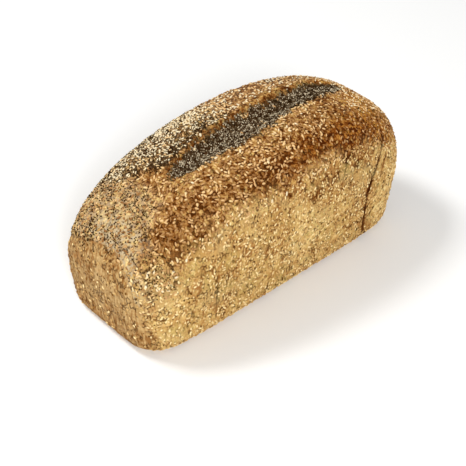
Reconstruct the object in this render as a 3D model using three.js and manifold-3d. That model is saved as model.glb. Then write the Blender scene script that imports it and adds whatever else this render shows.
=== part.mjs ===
// A seeded tin loaf, cut into slices that still stand together as a loaf.
// Millimetres, +Z up. +X runs along the loaf, and the origin is the middle of its flat base.
import * as THREE from "three";
import { ImprovedNoise } from "three/addons/math/ImprovedNoise.js";
import { MeshSurfaceSampler } from "three/addons/math/MeshSurfaceSampler.js";
import { mergeVertices } from "three/addons/utils/BufferGeometryUtils.js";
import Module from "manifold-3d";

// The tin: its walls lean out to the full size, then stand upright.
const LOAF_LENGTH = 280;
const LOAF_WIDTH = 120.5;
const LEFT_END_TAPER = 6.2;
const RIGHT_END_TAPER = 10.5;
const SIDE_TAPER = 4.7;
const TAPER_HEIGHT = 62;
const BASE_CORNER_RADIUS = 28;
const UPPER_CORNER_RADIUS = 17;
const BASE_EDGE_RADIUS = 11;

// The crown: the dough that rose out of the tin, a dome that also rounds off the upper corners.
const CROWN_HEIGHT = 127.7;
const CROWN_FOOT = 36.5;
const CROWN_HALF_LENGTH = 149.3;
const CROWN_HALF_WIDTH = 77;
const CROWN_LENGTH_POWER = 2.08;
const CROWN_WIDTH_POWER = 2.9;
const CROWN_HEIGHT_POWER = 2.75;
const END_HEIGHT_DIFFERENCE = 13.4;
const END_CREASE_ROUNDING = 7;
const SHOULDER_ROUNDING = 16;

// The split along the top: it narrows to both ends, drifts across, and has a raised lip on its far side.
const SPLIT_START = -84;
const SPLIT_END = 124;
const SPLIT_FADE = 34;
const SPLIT_WIDEST_X = -8;
const SPLIT_LEFT_REACH = 76;
const SPLIT_RIGHT_REACH = 122;
const SPLIT_HALF_WIDTH = 13.5;
const SPLIT_NARROWING_POWER = 1.4;
const SPLIT_TAPER_POWER = 0.7;
const SPLIT_TIP_SHARE = 0.02;
const SPLIT_CENTRE_Y = -7;
const SPLIT_DRIFT_Y = 8.5;
const SPLIT_DRIFT_START = -5;
const SPLIT_DRIFT_END = 90;
const SPLIT_DEPTH = 4.5;
const SPLIT_EDGE_POWER = 1.5;
const LIP_HEIGHT = 3.8;
const LIP_OFFSET = 3;
const LIP_INNER_WIDTH = 2.6;
const LIP_OUTER_WIDTH = 6.5;

// The uneven crust: low swells, as wide as they are on the loaf.
const SWELL_HEIGHT = 1.1;
const SWELL_LENGTH = 38;
const SWELL_ORIGIN = new THREE.Vector3(-277, -118, -65);

// The slices. One cut towards the right end gapes, and bends out over its upper half. Its neighbours bend less.
const SLICE_PITCH = 13.3;
const FIRST_CUT = -126.8;
const CUT_COUNT = 20;
const CUT_GAP = 0.3;
const BEND_REACH = 24;
const BENT_CUTS_LEFT = 8;
const BENT_CUTS_RIGHT = 3;
const BEND_LOWER_HEIGHT = 46;
const BEND_UPPER_HEIGHT = 108;
const OPEN_CUT = 16;
const OPEN_CUT_GAP = 1.2;
const GAP_EASE = 1.2;

// Sesame seeds all over the crust, down to the base edge.
const SEED_LENGTH = 3.4;
const SEED_WIDTH = 2;
const SEED_HEIGHT = 1.3;
const SEED_SPACING = 7.5;
const SEED_CLEARANCE = 2;
const SEED_LOWEST = 16;
const SEED_DEEPEST = 1.5;
const SEEDS_PER_SLICE = 12;
const SEED_TRIALS = 800;
const SEED_RANDOM_START = 2027;

// Points round one section of the loaf: [first angle, last angle, steps], from straight up.
const SECTION_CENTRE_HEIGHT = 45;
const SECTION_ARCS = [
  [-46, 46, 30],
  [46, 118, 7],
  [118, 140, 4],
  [140, 220, 3],
  [220, 242, 4],
  [242, 314, 7],
];
const END_RINGS = [0, 0.3, 0.55, 0.75, 0.88, 0.96, 1];
const NEXT_TO_END_RINGS = [0, 0.5, 1];
const MIDDLE_RINGS = [0, 1];
const END_FACE_DEPTH = 0.5;
const CRUST_SEARCH_STEPS = 40;

const CRUST_COLOUR = 0xb88e55;
const CRUST_ROUGHNESS = 0.85;

const wasm = await Module();
wasm.setup();
const noise = new ImprovedNoise();

// The larger of two distances, with the corner between them rounded over a width.
function roundedMax(first, second, width) {
  const overlap = Math.max(width - Math.abs(first - second), 0);
  return Math.max(first, second) + (overlap * overlap) / (4 * width);
}

// What is left of a change from base to full size at a height.
function taperAt(taper, height) {
  return taper * Math.max(0, 1 - height / TAPER_HEIGHT);
}

// Distance outside the tin's rounded rectangle at that height, negative inside.
function tinDistance(x, y, z) {
  const halfLength = LOAF_LENGTH / 2 - taperAt(x < 0 ? LEFT_END_TAPER : RIGHT_END_TAPER, z);
  const halfWidth = LOAF_WIDTH / 2 - taperAt(SIDE_TAPER, z);
  const corner = UPPER_CORNER_RADIUS + taperAt(BASE_CORNER_RADIUS - UPPER_CORNER_RADIUS, z);
  const alongX = Math.abs(x) - (halfLength - corner);
  const alongY = Math.abs(y) - (halfWidth - corner);
  const outside = Math.hypot(Math.max(alongX, 0), Math.max(alongY, 0));
  return outside + Math.min(Math.max(alongX, alongY), 0) - corner;
}

// 1 along the split, fading to 0 at its two ends.
function splitStrength(x) {
  const fadeIn = THREE.MathUtils.smoothstep(x, SPLIT_START, SPLIT_START + SPLIT_FADE);
  const fadeOut = THREE.MathUtils.smoothstep(x, SPLIT_END - SPLIT_FADE, SPLIT_END);
  return fadeIn * (1 - fadeOut);
}

// How wide the split is, as a share of its widest place.
function splitWidthShare(x) {
  const reach = x < SPLIT_WIDEST_X ? SPLIT_LEFT_REACH : SPLIT_RIGHT_REACH;
  const along = Math.abs(x - SPLIT_WIDEST_X) / reach;
  const left = Math.max(1 - along ** SPLIT_NARROWING_POWER, SPLIT_TIP_SHARE);
  return left ** SPLIT_TAPER_POWER;
}

// Height that the split and its lip add to the crown.
function splitRelief(x, y) {
  const drift = THREE.MathUtils.smoothstep(x, SPLIT_DRIFT_START, SPLIT_DRIFT_END);
  const fromCentre = y - SPLIT_CENTRE_Y - SPLIT_DRIFT_Y * drift;
  const widthShare = splitWidthShare(x);
  const halfWidth = SPLIT_HALF_WIDTH * widthShare;
  const across = fromCentre / halfWidth;
  const groove = widthShare * Math.max(0, 1 - across * across) ** SPLIT_EDGE_POWER;
  const fromLip = fromCentre - halfWidth - LIP_OFFSET;
  const lipAcross = fromLip / (fromLip < 0 ? LIP_INNER_WIDTH : LIP_OUTER_WIDTH);
  const lip = Math.exp(-lipAcross * lipAcross);
  return splitStrength(x) * (LIP_HEIGHT * lip - SPLIT_DEPTH * groove);
}

// Distance above the crown, negative inside, nearly true close to the surface.
function crownDistance(x, y, z) {
  const foot = CROWN_FOOT + (END_HEIGHT_DIFFERENCE * x) / LOAF_LENGTH;
  const rise = CROWN_HEIGHT - CROWN_FOOT;
  const length = Math.abs(x / CROWN_HALF_LENGTH) ** CROWN_LENGTH_POWER;
  const width = Math.abs(y / CROWN_HALF_WIDTH) ** CROWN_WIDTH_POWER;
  const lift = Math.max(0, (z - foot - splitRelief(x, y)) / rise);
  const height = lift ** CROWN_HEIGHT_POWER;
  return rise * ((length + width + height) ** (1 / CROWN_HEIGHT_POWER) - 1);
}

// Low swells of the crust, none at the flat base.
function crustSwell(x, y, z) {
  const place = new THREE.Vector3(x, y, z).sub(SWELL_ORIGIN).divideScalar(SWELL_LENGTH);
  const wave = noise.noise(place.x, place.y, place.z);
  const aboveBase = THREE.MathUtils.smoothstep(z, BASE_EDGE_RADIUS, 3 * BASE_EDGE_RADIUS);
  return SWELL_HEIGHT * wave * aboveBase;
}

// Distance outside the whole loaf, negative inside.
function loafDistance(x, y, z) {
  const endDistance = LOAF_LENGTH / 2 - Math.abs(x);
  const nearEnd = 1 - THREE.MathUtils.smoothstep(endDistance, 0, 2 * BASE_CORNER_RADIUS);
  const rounding = THREE.MathUtils.lerp(SHOULDER_ROUNDING, END_CREASE_ROUNDING, nearEnd);
  const upper = roundedMax(tinDistance(x, y, z), crownDistance(x, y, z), rounding);
  return roundedMax(upper + crustSwell(x, y, z), -z, BASE_EDGE_RADIUS);
}

// The point of the crust at an angle round the section, on a face that may lean along the loaf.
function crustPoint(faceX, angle) {
  const sideways = -Math.sin(angle);
  const upwards = Math.cos(angle);
  let inside = 0;
  let outside = LOAF_WIDTH;
  for (let step = 0; step < CRUST_SEARCH_STEPS; step += 1) {
    const reach = (inside + outside) / 2;
    const height = SECTION_CENTRE_HEIGHT + reach * upwards;
    const within = loafDistance(faceX(height), reach * sideways, height) < 0;
    if (within) inside = reach;
    else outside = reach;
  }
  const z = SECTION_CENTRE_HEIGHT + inside * upwards;
  return new THREE.Vector3(faceX(z), inside * sideways, z);
}

function sectionAngles() {
  const angles = [];
  for (const [first, last, steps] of SECTION_ARCS) {
    for (let step = 0; step < steps; step += 1) {
      angles.push(THREE.MathUtils.degToRad(first + ((last - first) * step) / steps));
    }
  }
  return angles;
}

// A slice as rings of crust points between its two faces, closed by a fan on each face.
function sliceGeometry(leftFace, rightFace, ringPlaces) {
  const angles = sectionAngles();
  const count = angles.length;
  const points = [];
  for (const place of ringPlaces) {
    const faceX = (z) => THREE.MathUtils.lerp(leftFace(z), rightFace(z), place);
    for (const angle of angles) points.push(crustPoint(faceX, angle));
  }
  points.push(new THREE.Vector3(leftFace(SECTION_CENTRE_HEIGHT), 0, SECTION_CENTRE_HEIGHT));
  points.push(new THREE.Vector3(rightFace(SECTION_CENTRE_HEIGHT), 0, SECTION_CENTRE_HEIGHT));
  const leftCentre = points.length - 2;
  const rightCentre = points.length - 1;
  const lastRing = (ringPlaces.length - 1) * count;
  const triangles = [];
  for (let here = 0; here < count; here += 1) {
    const next = (here + 1) % count;
    for (let ring = 0; ring < lastRing; ring += count) {
      triangles.push(ring + here, ring + next, ring + count + here);
      triangles.push(ring + next, ring + count + next, ring + count + here);
    }
    triangles.push(leftCentre, next, here);
    triangles.push(rightCentre, lastRing + here, lastRing + next);
  }
  return new THREE.BufferGeometry().setFromPoints(points).setIndex(triangles);
}

// A closed geometry as a solid that can be joined with others.
function solidOf(geometry) {
  const plain = geometry.clone();
  plain.deleteAttribute("normal");
  plain.deleteAttribute("uv");
  const merged = mergeVertices(plain);
  const vertProperties = new Float32Array(merged.attributes.position.array);
  const triVerts = new Uint32Array(merged.index.array);
  return new wasm.Manifold(new wasm.Mesh({ numProp: 3, vertProperties, triVerts }));
}

function geometryOf(solid) {
  const { vertProperties, triVerts } = solid.getMesh();
  const geometry = new THREE.BufferGeometry();
  geometry.setAttribute("position", new THREE.BufferAttribute(vertProperties, 3));
  geometry.setIndex(new THREE.BufferAttribute(triVerts, 1));
  geometry.computeVertexNormals();
  return geometry;
}

// A repeatable stream of numbers from 0 to 1.
function randomStream(start) {
  let state = start;
  return () => {
    state = (Math.imul(state, 1664525) + 1013904223) >>> 0;
    return state / 2 ** 32;
  };
}

// One sesame seed lying on the crust, turned about the way the crust faces.
function seedSolid(place, facing, turn) {
  const seed = new THREE.IcosahedronGeometry(1, 0);
  seed.scale(SEED_LENGTH / 2, SEED_WIDTH / 2, SEED_HEIGHT / 2);
  seed.rotateZ(turn);
  const lie = new THREE.Quaternion().setFromUnitVectors(new THREE.Vector3(0, 0, 1), facing);
  seed.applyQuaternion(lie);
  seed.translate(place.x, place.y, place.z);
  return solidOf(seed);
}

// Seeds spread over one slice's crust, each clear of its cut faces and of the other seeds.
function seedSolids(geometry, leftFace, rightFace, random) {
  const sampler = new MeshSurfaceSampler(new THREE.Mesh(geometry.toNonIndexed()));
  sampler.setRandomGenerator(random).build();
  const places = [];
  const solids = [];
  const place = new THREE.Vector3();
  const facing = new THREE.Vector3();
  for (let trial = 0; trial < SEED_TRIALS && places.length < SEEDS_PER_SLICE; trial += 1) {
    sampler.sample(place, facing);
    const turn = random() * Math.PI;
    const fromFace = Math.min(place.x - leftFace(place.z), rightFace(place.z) - place.x);
    const alone = places.every((other) => other.distanceTo(place) > SEED_SPACING);
    const onCrust = loafDistance(place.x, place.y, place.z) > -SEED_DEEPEST && place.z > SEED_LOWEST;
    if (fromFace < SEED_CLEARANCE || !alone || !onCrust) continue;
    places.push(place.clone());
    solids.push(seedSolid(place, facing, turn));
  }
  return solids;
}

// The middle of a cut at a height.
function cutX(cut, z) {
  const away = cut - OPEN_CUT;
  const share = Math.max(0, 1 - Math.abs(away) / (away < 0 ? BENT_CUTS_LEFT : BENT_CUTS_RIGHT));
  const bend = THREE.MathUtils.smoothstep(z, BEND_LOWER_HEIGHT, BEND_UPPER_HEIGHT);
  return FIRST_CUT + cut * SLICE_PITCH + BEND_REACH * share * bend;
}

// Half the gap of a cut: cuts close to the open one have eased apart too.
function cutHalfGap(cut) {
  const ease = Math.exp(-Math.abs(cut - OPEN_CUT) / GAP_EASE);
  return (CUT_GAP + (OPEN_CUT_GAP - CUT_GAP) * ease) / 2;
}

// How far the flat part of an end face lies from the middle, at a height.
function endReach(taper, z) {
  return LOAF_LENGTH / 2 - taperAt(taper, z) - END_FACE_DEPTH;
}

function ringsOf(slice) {
  const fromEnd = Math.min(slice, CUT_COUNT - slice);
  if (fromEnd === 0) return END_RINGS;
  return fromEnd <= 2 ? NEXT_TO_END_RINGS : MIDDLE_RINGS;
}

// The two end pieces are heels, and the slices between them are counted from the left.
function sliceName(slice) {
  if (slice === 0) return "heel_left";
  if (slice === CUT_COUNT) return "heel_right";
  return "slice_" + String(slice).padStart(2, "0");
}

function sliceMesh(slice, random) {
  const isFirst = slice === 0;
  const isLast = slice === CUT_COUNT;
  const leftEnd = (z) => -endReach(LEFT_END_TAPER, z);
  const rightEnd = (z) => endReach(RIGHT_END_TAPER, z);
  const leftFace = isFirst ? leftEnd : (z) => cutX(slice - 1, z) + cutHalfGap(slice - 1);
  const rightFace = isLast ? rightEnd : (z) => cutX(slice, z) - cutHalfGap(slice);
  const rings = isFirst ? ringsOf(slice).map((place) => 1 - place).reverse() : ringsOf(slice);
  const bare = sliceGeometry(leftFace, rightFace, rings);
  const seeds = seedSolids(bare, leftFace, rightFace, random);
  const solid = seeds.reduce((joined, seed) => joined.add(seed), solidOf(bare));
  const material = new THREE.MeshStandardMaterial({
    color: CRUST_COLOUR,
    roughness: CRUST_ROUGHNESS,
    metalness: 0,
  });
  const mesh = new THREE.Mesh(geometryOf(solid), material);
  mesh.name = sliceName(slice);
  return mesh;
}

const loaf = new THREE.Group();
loaf.name = "seeded_sandwich_loaf";
const random = randomStream(SEED_RANDOM_START);
for (let slice = 0; slice <= CUT_COUNT; slice += 1) {
  loaf.add(sliceMesh(slice, random));
}

export default loaf;
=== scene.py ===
import math
from functools import partial
import bmesh
import bpy
import numpy as np
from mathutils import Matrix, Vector, noise


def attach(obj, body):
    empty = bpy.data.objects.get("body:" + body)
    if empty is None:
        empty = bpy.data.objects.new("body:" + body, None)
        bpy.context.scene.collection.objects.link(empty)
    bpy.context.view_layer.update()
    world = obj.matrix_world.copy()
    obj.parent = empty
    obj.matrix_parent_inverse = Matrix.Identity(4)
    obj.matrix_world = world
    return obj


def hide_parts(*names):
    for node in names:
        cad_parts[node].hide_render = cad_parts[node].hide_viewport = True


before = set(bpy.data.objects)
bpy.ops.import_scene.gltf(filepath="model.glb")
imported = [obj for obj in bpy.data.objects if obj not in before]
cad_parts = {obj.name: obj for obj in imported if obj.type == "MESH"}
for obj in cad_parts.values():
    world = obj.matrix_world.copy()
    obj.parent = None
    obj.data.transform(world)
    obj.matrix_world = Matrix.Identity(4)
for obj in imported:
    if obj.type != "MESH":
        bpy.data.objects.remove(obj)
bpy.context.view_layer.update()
scene = bpy.context.scene
mm = 0.001
print("frame:", len(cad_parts), "nodes")

# camera at the loaf's front left corner, looking down on it
view = {
    "azimuth": -41.94,
    "elevation": 39.21,
    "distance": 1.0,
    "target": (-0.0055, 0, 0.0241),
    "picturePixels": 466,
    "focalPixels": 1252.2,
    "sensorWidth": 36,
}


def placeCamera():
    turn = math.radians(view["azimuth"])
    tilt = math.radians(view["elevation"])
    back = Vector((math.sin(turn) * math.cos(tilt), -math.cos(turn) * math.cos(tilt), math.sin(tilt)))
    lens = bpy.data.cameras.new("loafCamera")
    lens.sensor_width = view["sensorWidth"]
    lens.lens = view["sensorWidth"] * view["focalPixels"] / view["picturePixels"]
    camera = bpy.data.objects.new("loafCamera", lens)
    camera.location = Vector(view["target"]) + back * view["distance"]
    camera.rotation_euler = (-back).to_track_quat("-Z", "Y").to_euler()
    scene.collection.objects.link(camera)
    scene.camera = camera


placeCamera()

# soft studio light: a pale room, a wide lamp behind and above, a weak one in front
light = {
    "roomStrength": 0.45,
    "roomTint": (1.0, 1.0, 1.0),
    "lamps": {
        "keyLamp": {"place": (-0.55, 0.85, 1.5), "size": 0.45, "power": 17},
        "frontLamp": {"place": (-0.9, -1.5, 1.2), "size": 0.5, "power": 27},
    },
    "aim": (0, 0, 0.06),
}


def placeLights():
    world = bpy.data.worlds.new("paleRoom")
    world.use_nodes = True
    sky = world.node_tree.nodes["Background"]
    sky.inputs["Color"].default_value = (*light["roomTint"], 1)
    sky.inputs["Strength"].default_value = light["roomStrength"]
    scene.world = world
    for name, lamp in light["lamps"].items():
        data = bpy.data.lights.new(name, "AREA")
        data.size = lamp["size"]
        data.energy = lamp["power"]
        spot = bpy.data.objects.new(name, data)
        spot.location = lamp["place"]
        aim = Vector(light["aim"]) - spot.location
        spot.rotation_euler = aim.to_track_quat("-Z", "Y").to_euler()
        scene.collection.objects.link(spot)
    scene.view_settings.view_transform = "Standard"


placeLights()
print("camera and light placed")


# small helpers for node materials
def tint(red, green, blue):  # screen colour from 0 to 255, as linear light
    channels = [c / 255 for c in (red, green, blue)]
    return [c / 12.92 if c < 0.04045 else ((c + 0.055) / 1.055) ** 2.4 for c in channels] + [1]


def addNode(tree, kind, inputs, **settings):
    node = tree.nodes.new(kind)
    for key, value in settings.items():
        setattr(node, key, value)
    for socket, value in inputs.items():
        if isinstance(value, bpy.types.NodeSocket):
            tree.links.new(value, node.inputs[socket])
        else:
            node.inputs[socket].default_value = value
    return node


def newMaterial(name, look):
    material = bpy.data.materials.new(name)
    material.use_nodes = True
    shader = material.node_tree.nodes["Principled BSDF"]
    shader.inputs["Roughness"].default_value = look["roughness"]
    shader.inputs["Specular IOR Level"].default_value = look["specular"]
    return material, material.node_tree, shader


def mixColour(tree, factor, first, second, blend="MIX"):
    mix = addNode(tree, "ShaderNodeMix", {0: factor, 6: first, 7: second}, data_type="RGBA", blend_type=blend)
    return mix.outputs[2]


def mathNode(tree, operation, first, second):
    return addNode(tree, "ShaderNodeMath", {0: first, 1: second}, operation=operation).outputs[0]


def plus(tree, first, second):
    return mathNode(tree, "ADD", first, second)


def minus(tree, first, second):
    return mathNode(tree, "SUBTRACT", first, second)


def times(tree, first, second):
    return mathNode(tree, "MULTIPLY", first, second)


def rampColour(tree, value, stops):  # stops are values from 0 to 1 with their screen colours
    node = addNode(tree, "ShaderNodeValToRGB", {"Fac": value})
    ramp = node.color_ramp
    while len(ramp.elements) < len(stops):
        ramp.elements.new(0.5)
    for element, (place, colour) in zip(ramp.elements, stops):
        element.position = place
        element.color = tint(*colour)
    return node.outputs["Color"]


def spread(tree, value, low, high):  # value from low to high becomes 0 to 1, eased
    inputs = {"Value": value, "From Min": low, "From Max": high}
    node = addNode(tree, "ShaderNodeMapRange", inputs, interpolation_type="SMOOTHSTEP")
    return node.outputs["Result"]


def grain(tree, place, size, detail=3.0, roughness=0.55):  # noise with features of that size in metres
    inputs = {"Vector": place, "Scale": 1 / size, "Detail": detail, "Roughness": roughness}
    return addNode(tree, "ShaderNodeTexNoise", inputs).outputs["Fac"]


def fieldOf(tree, name):  # a value stored on the mesh
    return addNode(tree, "ShaderNodeAttribute", {}, attribute_name=name).outputs["Fac"]


def objectPlace(tree):
    return addNode(tree, "ShaderNodeTexCoord", {}).outputs["Object"]


def mapped(tree, place, change, amounts):  # moved or stretched, which moves or squeezes a pattern
    return addNode(tree, "ShaderNodeMapping", {"Vector": place, change: amounts}).outputs[0]


def cellsOf(tree, place, perMetre, feature="F1"):
    inputs = {"Vector": place, "Scale": perMetre}
    return addNode(tree, "ShaderNodeTexVoronoi", inputs, feature=feature).outputs


def cellShade(tree, cells):  # a value from 0 to 1 for each cell
    return addNode(tree, "ShaderNodeSeparateColor", {"Color": cells["Color"]}).outputs[0]


def addBump(tree, shader, height, bump):
    inputs = {"Height": height, "Strength": bump["strength"], "Distance": bump["distance"]}
    tree.links.new(addNode(tree, "ShaderNodeBump", inputs).outputs[0], shader.inputs["Normal"])


# the loaf's form, in metres, as in its solids
tin = {
    "length": 0.280,
    "width": 0.1205,
    "leftTaper": 0.0062,
    "rightTaper": 0.0105,
    "sideTaper": 0.0047,
    "taperHeight": 0.062,
    "baseCorner": 0.028,
    "upperCorner": 0.017,
    "baseEdge": 0.011,
}
crown = {
    "height": 0.1277,
    "foot": 0.0365,
    "halfLength": 0.1493,
    "halfWidth": 0.077,
    "lengthPower": 2.08,
    "widthPower": 2.9,
    "heightPower": 2.75,
    "endDifference": 0.0134,
    "endRounding": 0.007,
    "shoulderRounding": 0.016,
}
split = {
    "start": -0.084,
    "end": 0.124,
    "fade": 0.034,
    "widest": -0.008,
    "leftReach": 0.076,
    "rightReach": 0.122,
    "halfWidth": 0.0135,
    "power": 1.4,
    "taper": 0.7,
    "tip": 0.02,
    "centre": -0.007,
    "drift": 0.0085,
    "driftOver": (-0.005, 0.090),
    "depth": 0.0045,
    "edgePower": 1.5,
    "lipHeight": 0.0038,
    "lipOffset": 0.003,
    "lipInner": 0.0026,
    "lipOuter": 0.0065,
}
cuts = {
    "first": -0.1268,
    "pitch": 0.0133,
    "count": 20,
    "gap": 0.00006,
    "stray": 0.0003,
    "straySize": 0.016,
    "strayShift": 0.0272,
    "strayNoise": 61,
    "opened": (  # cut, height of the opening's middle, its reach up and down, its width
        (16, 0.045, 0.055, 0.0008),
        (16, 0.060, 0.007, 0.0012),
        (16, 0.078, 0.013, 0.0010),
        (4, 0.034, 0.018, 0.0006),
        (11, 0.087, 0.007, 0.0005),
        (13, 0.092, 0.012, 0.0007),
        (14, 0.0855, 0.005, 0.0005),
        (17, 0.067, 0.010, 0.0011),
    ),
    "bent": 16,
    "bend": 0.024,
    "bentLeft": 8,
    "bentRight": 3,
    "bendOver": (0.046, 0.108),
    "closedAbove": (0.086, 0.102),
    "closedShare": 0.1,
    "nearby": 0.009,
    "bridged": 0.00022,
    "edgeShadeReach": 0.0016,
    "shadedCutWidth": 0.0008,
}
# each slice's skin is cast from a line along the loaf at this height, in this many halvings
section = {"centre": 0.045, "searchSteps": 22}


def easeStep(value, low, high):  # 0 at low and 1 at high, eased; it falls where low is the greater
    t = np.clip((value - low) / (high - low), 0, 1)
    return t * t * (3 - 2 * t)


def between(value, start, end):  # rises over start and falls again over end
    return easeStep(value, *start) * easeStep(value, *end)


def bell(value, middle, reach):
    return np.exp(-((value - middle) / reach) ** 2)


def weighed(values, amounts):  # the sum of the named values, each times its amount
    return sum(amount * values[name] for name, amount in amounts.items())


def roundedMax(first, second, width):
    overlap = np.maximum(width - np.abs(first - second), 0)
    return np.maximum(first, second) + overlap ** 2 / (4 * width)


def taperAt(taper, z):
    return taper * np.maximum(0, 1 - z / tin["taperHeight"])


def tinDistance(x, y, z):
    halfLength = tin["length"] / 2 - taperAt(np.where(x < 0, tin["leftTaper"], tin["rightTaper"]), z)
    halfWidth = tin["width"] / 2 - taperAt(tin["sideTaper"], z)
    corner = tin["upperCorner"] + taperAt(tin["baseCorner"] - tin["upperCorner"], z)
    alongX = np.abs(x) - (halfLength - corner)
    alongY = np.abs(y) - (halfWidth - corner)
    outside = np.hypot(np.maximum(alongX, 0), np.maximum(alongY, 0))
    return outside + np.minimum(np.maximum(alongX, alongY), 0) - corner


def splitLine(x):  # middle and half width of the split
    reach = np.where(x < split["widest"], split["leftReach"], split["rightReach"])
    along = np.abs(x - split["widest"]) / reach
    half = split["halfWidth"] * np.clip(1 - along ** split["power"], split["tip"], 1) ** split["taper"]
    return split["centre"] + split["drift"] * easeStep(x, *split["driftOver"]), half


def splitRelief(x, y):
    centre, half = splitLine(x)
    fadeIn = easeStep(x, split["start"], split["start"] + split["fade"])
    fadeOut = easeStep(x, split["end"] - split["fade"], split["end"])
    strength = fadeIn * (1 - fadeOut)
    groove = np.maximum(0, 1 - ((y - centre) / half) ** 2) ** split["edgePower"] * half / split["halfWidth"]
    beyond = y - centre - half - split["lipOffset"]
    lip = bell(beyond, 0, np.where(beyond < 0, split["lipInner"], split["lipOuter"]))
    return strength * (split["lipHeight"] * lip - split["depth"] * groove)


def crownDistance(x, y, z):
    foot = crown["foot"] + crown["endDifference"] * x / tin["length"]
    rise = crown["height"] - crown["foot"]
    length = np.abs(x / crown["halfLength"]) ** crown["lengthPower"]
    width = np.abs(y / crown["halfWidth"]) ** crown["widthPower"]
    height = np.maximum(0, (z - foot - splitRelief(x, y)) / rise) ** crown["heightPower"]
    return rise * ((length + width + height) ** (1 / crown["heightPower"]) - 1)


def loafDistance(points):
    x, y, z = points.T
    nearEnd = 1 - easeStep(tin["length"] / 2 - np.abs(x), 0, 2 * tin["baseCorner"])
    rounding = crown["shoulderRounding"] + (crown["endRounding"] - crown["shoulderRounding"]) * nearEnd
    upper = roundedMax(tinDistance(x, y, z), crownDistance(x, y, z), rounding)
    return roundedMax(upper, -z, tin["baseEdge"])


def castCrust(origins, rays, placed):  # how far along each ray the crust lies
    inside = np.zeros(len(rays))
    outside = np.full(len(rays), tin["width"])
    for step in range(section["searchSteps"]):
        reach = (inside + outside) / 2
        within = loafDistance(placed(origins + rays * reach[:, None])) < 0
        inside = np.where(within, reach, inside)
        outside = np.where(within, outside, reach)
    return inside


def noiseAt(points, size, shift=0):  # smooth noise from -1 to 1 with features of that size
    return np.array([noise.noise(p) for p in (points / size + shift).tolist()])


def cutFoot(cut):  # where a cut starts at the base
    return cuts["first"] + cut * cuts["pitch"]


def cutMiddle(cut, z):  # the open cut bends out over its upper half, and its neighbours bend less
    away = cut - cuts["bent"]
    share = max(0, 1 - abs(away) / cuts["bentLeft" if away < 0 else "bentRight"])
    return cutFoot(cut) + cuts["bend"] * share * easeStep(z, *cuts["bendOver"])


def cutHalfGap(cut, y, z):  # most cuts are all but shut, more so towards the crown
    opened = sum(
        width * bell(z, height, reach)
        for number, height, reach, width in cuts["opened"]
        if number == cut
    )
    places = np.stack([np.full(np.shape(y), cut * cuts["strayShift"]), y, z], -1).reshape(-1, 3)
    stray = np.clip(noiseAt(places, cuts["straySize"], cuts["strayNoise"]), 0, 1).reshape(np.shape(y))
    shut = 1 - (1 - cuts["closedShare"]) * easeStep(z, *cuts["closedAbove"])
    return (cuts["gap"] + opened + cuts["stray"] * stray * shut) / 2


def faceX(cut, y, z, side):  # a slice's face beside a cut, side 1 to its right and -1 to its left
    return cutMiddle(cut, z) + side * cutHalfGap(cut, y, z)


def nearestCut(points):  # how far each point is from the nearest cut's face, and how wide that cut is there
    away = np.full(len(points), cuts["nearby"])
    halfGap = np.zeros(len(points))
    for cut in range(cuts["count"]):
        here = np.abs(points[:, 0] - cutMiddle(cut, points[:, 2]))
        near = here < away
        away[near] = here[near]
        halfGap[near] = cutHalfGap(cut, *points[near, 1:].T)
    return away - halfGap, 2 * halfGap


def cutEdgeShade(points):  # 1 along the edges of the open cuts, where shade is painted
    distance, width = nearestCut(points)
    opened = easeStep(width, cuts["bridged"], cuts["shadedCutWidth"])
    return bell(np.maximum(distance, 0), 0, cuts["edgeShadeReach"]) * opened


# where the crust is pale, brown, seeded or bare, in millimetres; a pair is where a zone starts and is full
zone = {
    # each noise's size, and how far it is shifted
    "noises": {"wander": (22, 3), "ragged": (6, 9), "tatter": (2.4, 13), "cloud": (40, 17), "spots": (8, 29)},
    "rim": {"height": 102.5, "peak": 20, "leftDrop": 13.5, "rightDrop": 40, "reach": 120, "power": 3,
            "wander": 7, "ragged": 3, "fade": (-12, 12)},
    "belt": {"start": (-4, 5), "end": (24, 12)},
    "band": {"start": (-80, -68), "end": (114, 104), "endStray": 4, "edge": (1.1, 0.8),
             "torn": {"wander": 0.14, "ragged": 0.34, "tatter": 0.36}, "spill": 4.5, "spillOver": (30, 85)},
    "lip": {"middle": 38, "reach": 26, "narrow": 2.8, "wide": 6.5, "start": (-74, -60), "end": (108, 94),
            "inner": (-2.5, 0), "outer": (1, -2), "ragged": 3},
    "arch": {"height": 83, "middle": -4, "fade": (-2, 3),
             "farSide": {"drop": 10, "at": 36, "power": 2}, "nearSide": {"drop": 6, "at": 22, "power": 3.2}},
    "dome": {"edge": (-82, -98), "near": -16, "nearFrom": -74, "nearSlope": 0.27, "nearFade": (-5, 4),
             "wander": 6, "ragged": 2},
    "stripe": {"inner": (-1, 3), "outer": (17, 9), "low": (97, 80), "lowNarrow": 7, "far": (20, 4),
               "base": (38, 62), "end": -112, "ragged": 3},
    "corner": {"inner": (5, 8), "outer": (17, 12), "top": (92, 82), "base": (54, 64), "near": (-30, -38),
               "end": -108, "ragged": 3},
    "mix": {"start": (-100, -84), "slant": 0.9, "slantFrom": 25, "end": (24, -14), "endSlant": 0.2,
            "wander": 8, "ragged": 5, "beyond": (-1, 3), "bare": (0.34, 0.5), "farFilled": 0.6},
    "dense": {"left": (-22, -52), "wander": 10, "clusterX": -20, "clusterReach": 9, "clusterFar": (32, 22),
              "farThinned": 0.75},
    "crease": {"above": 3.5, "width": 4.5, "near": (-24, -8), "middle": 20, "reach": 9, "least": 0.16,
               "end": -112},
    "pepper": (-134, -92),
    "far": (0, 40),
    "farRight": (-20, 30),
    "rightHalf": (30, 80),
    "rightEnd": (70, 105),
    "crownAbove": 80,
    "endFace": (0.5, 0.68),  # these two by the way the crust faces
    "under": (-0.6, -0.85),
    "endLoose": 0.5,
}


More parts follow.
